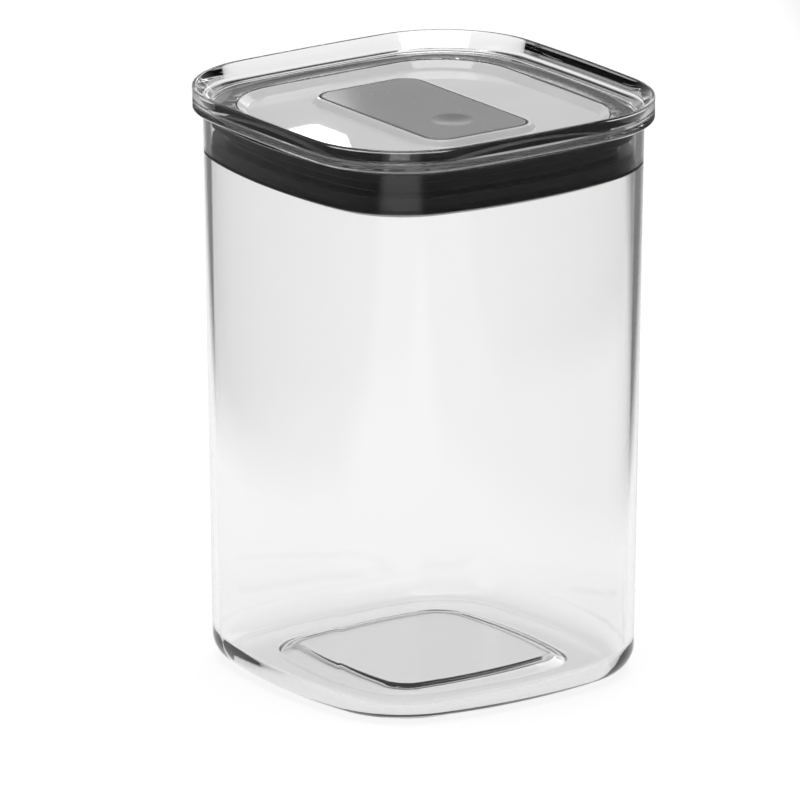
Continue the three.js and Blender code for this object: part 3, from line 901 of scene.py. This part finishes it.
class CANISTER_OT_set_stage(bpy.types.Operator):
    """Lay the floor with its painted pool of glow and set the studio light and the camera"""

    bl_idname = "canister.set_stage"
    bl_label = "Set Stage"

    def execute(self, context):
        stage = context.scene.canister_stage
        self.lay_floor(stage)
        self.light(context, stage)
        self.aim(context, stage)
        context.scene.view_settings.view_transform = "Standard"
        return {"FINISHED"}

    def lay_floor(self, stage):
        """Disc of rings whose radius grows as the square of their number, lit from within by a
        painted glow.

        Its glow is an ellipse that runs along the line of sight, so that the glass shows its
        edges against the dark to either side.
        """
        count, spokes, relief_scale = 24, 96, 300
        turn = np.arange(spokes) / spokes * 2 * np.pi
        radius = (FLOOR_RADIUS * np.linspace(0.02, 1, count) ** 2)[:, None]
        rings = np.stack([radius * np.cos(turn), radius * np.sin(turn), 0 * radius * turn], -1)
        points, faces = skin(rings, loop=False)
        mesh = bpy.data.meshes.new("floor")
        mesh.from_pydata(points.tolist(), [], faces[: count * spokes])
        mesh.flip_normals()
        made, shader = finish(
            "painted glow floor",
            Base_Color=(0.25, 0.25, 0.25, 1),
            Roughness=0.9,
            Specular_IOR_Level=0.0,
            Emission_Strength=1.0,
        )
        nodes, links = made.node_tree.nodes, made.node_tree.links
        place = nodes.new("ShaderNodeTexCoord")
        mapping = nodes.new("ShaderNodeMapping")
        mapping.vector_type = "TEXTURE"
        a, across = stage.azimuth, -0.02
        centre = (across * math.cos(a), across * math.sin(a), 0)
        half_wide, half_long = 0.29, 1.8
        mapping.inputs["Location"].default_value = centre
        mapping.inputs["Rotation"].default_value = (0, 0, a)
        mapping.inputs["Scale"].default_value = (half_wide, half_long, 1)
        # painted pool of light: the floor's emission is bright inside an ellipse along the line of
        # sight and nearly dark outside it
        pool = nodes.new("ShaderNodeTexGradient")
        pool.gradient_type = "SPHERICAL"
        glow = nodes.new("ShaderNodeValToRGB")
        links.new(place.outputs["Object"], mapping.inputs["Vector"])
        links.new(mapping.outputs["Vector"], pool.inputs["Vector"])
        links.new(pool.outputs["Fac"], glow.inputs["Fac"])
        # the painted glow drives the emission, so the floor shines with no lamp behind it
        links.new(glow.outputs["Color"], shader.inputs["Emission Color"])
        outside, inside = glow.color_ramp.elements
        outside.position, outside.color = 0.25, (0.02, 0.02, 0.02, 1)
        inside.position, inside.color = 0.45, (0.84, 0.84, 0.84, 1)
        relief(made, shader, grain(made, relief_scale, 3), 0.02, 0.0002)
        mesh.materials.append(made)
        floor = bpy.data.objects.new("floor", mesh)
        floor.location.z = -0.0001
        bpy.context.scene.collection.objects.link(floor)

    def softbox(self, name, place, size, power, target=(0, 0, 0.1)):
        """Rectangular area light that faces a point."""
        lamp = bpy.data.lights.new(name, "AREA")
        lamp.shape = "RECTANGLE"
        lamp.size, lamp.size_y = size
        lamp.energy = power
        made = bpy.data.objects.new(name, lamp)
        made.location = place
        back = made.location - Vector(target)
        made.rotation_euler = back.to_track_quat("Z", "Y").to_euler()
        bpy.context.scene.collection.objects.link(made)
        return made

    def lay_card(self, stage):
        """Small bright card whose mirror image lies on the near left of the panel.

        It stands square to the mirrored line of sight, so a corner is the spot, plus the line
        times the distance, plus the corner's place to the right, less its place upward.
        """
        spot = np.array([-31.7, 1.0, PANEL_FLOOR])
        a, e = stage.azimuth, stage.elevation
        sight = np.array([-math.sin(a) * math.cos(e), math.cos(a) * math.cos(e), math.sin(e)])
        beside = np.array([math.cos(a), math.sin(a), 0.0])
        rise = np.cross(beside, sight)
        right = np.array([-8.2, -3.6, -0.6, 6.8, 8.6, -8.2])[:, None]
        upward = np.array([3.0, 4.2, 4.5, 1.7, -2.6, -2.6])[:, None]
        corners = spot + CARD_DISTANCE * sight + right * beside - upward * rise
        mesh = bpy.data.meshes.new("card")
        mesh.from_pydata((corners * MM).tolist(), [], [tuple(range(len(corners)))])
        white = (1.0, 1.0, 1.0, 1.0)
        made, _ = finish("bright card", Emission_Color=white, Emission_Strength=8.0)
        mesh.materials.append(made)
        card = bpy.data.objects.new("card", mesh)
        card.visible_camera = False
        bpy.context.scene.collection.objects.link(card)

    def light(self, context, stage):
        """White surround near the horizon that darkens overhead, four softboxes and a card."""
        world = bpy.data.worlds.new("studio")
        context.scene.world = world
        world.use_nodes = True
        nodes, links = world.node_tree.nodes, world.node_tree.links
        back = nodes["Background"]
        back.inputs["Strength"].default_value = 1.0
        place = nodes.new("ShaderNodeTexCoord")
        split = nodes.new("ShaderNodeSeparateXYZ")
        ramp = nodes.new("ShaderNodeValToRGB")
        links.new(place.outputs["Generated"], split.inputs["Vector"])
        links.new(split.outputs["Z"], ramp.inputs["Fac"])
        links.new(ramp.outputs["Color"], back.inputs["Color"])
        low, high = ramp.color_ramp.elements
        low.position, low.color = 0.1, (1, 1, 1, 1)
        high.position, high.color = 0.5, (0.03, 0.03, 0.03, 1)
        self.softbox("overhead", (0, 0, 3.0), (2.4, 2.4), 66)
        self.softbox("left", (-2.6, 0.6, 1.6), (1.6, 1.6), 14)
        self.softbox("right", (2.4, 1.6, 1.6), (1.2, 1.6), 10)
        self.softbox("front right", (0.6, -2.6, 0.9), (1.8, 1.2), 8)
        self.lay_card(stage)

    def aim(self, context, stage):
        """Long lens camera, moved sideways and down so the canister sits as framed."""
        a, e = stage.azimuth, stage.elevation
        back = np.array([math.sin(a) * math.cos(e), -math.cos(a) * math.cos(e), math.sin(e)])
        right = np.array([math.cos(a), math.sin(a), 0.0])
        up = np.cross(back, right)
        target = np.array([0, 0, 0.07578]) - right * 0.00581 - up * 0.00658
        lens = bpy.data.cameras.new("camera")
        lens.lens = stage.lens
        lens.sensor_width = 36
        lens.clip_start, lens.clip_end = 0.1, 60
        camera = bpy.data.objects.new("camera", lens)
        camera.location = target + back * stage.distance
        turn = Vector(back).to_track_quat("Z", "Y")
        camera.rotation_euler = turn.to_euler()
        context.scene.collection.objects.link(camera)
        context.scene.camera = camera


class CANISTER_PT_panel(bpy.types.Panel):
    """Settings and steps of the canister"""

    bl_idname = "CANISTER_PT_panel"
    bl_label = "Lidded Canister"
    bl_space_type = "VIEW_3D"
    bl_region_type = "UI"
    bl_category = "Canister"

    def draw(self, context):
        for name, group in SETTINGS.items():
            settings = getattr(context.scene, name)
            box = self.layout.box()
            for prop in group.__annotations__:
                box.prop(settings, prop)
        for step in STEPS:
            self.layout.operator(step.bl_idname)


SETTINGS = {
    "canister_glass": CanisterGlassSettings,
    "canister_cover": CanisterCoverSettings,
    "canister_panel": CanisterPanelSettings,
    "canister_seal": CanisterSealSettings,
    "canister_stage": CanisterStageSettings,
}
STEPS = (
    CANISTER_OT_set_stage,
    CANISTER_OT_press_jar,
    CANISTER_OT_mould_cover,
    CANISTER_OT_mould_panel,
    CANISTER_OT_mould_lever,
    CANISTER_OT_mould_carrier,
    CANISTER_OT_mould_seal,
    CANISTER_OT_mould_plate,
    CANISTER_OT_wind_springs,
    CANISTER_OT_finish_hardware,
)
CLASSES = (*SETTINGS.values(), *STEPS, CANISTER_PT_panel)


def register():
    for made in CLASSES:
        bpy.utils.register_class(made)
    for name, group in SETTINGS.items():
        setattr(bpy.types.Scene, name, PointerProperty(type=group))


def unregister():
    for name in SETTINGS:
        delattr(bpy.types.Scene, name)
    for made in reversed(CLASSES):
        bpy.utils.unregister_class(made)


def main():
    register()
    for step in STEPS:
        group, name = step.bl_idname.split(".")
        if getattr(getattr(bpy.ops, group), name)() != {"FINISHED"}:
            raise RuntimeError(f"{step.bl_idname} did not finish")


if __name__ == "__main__":
    main()
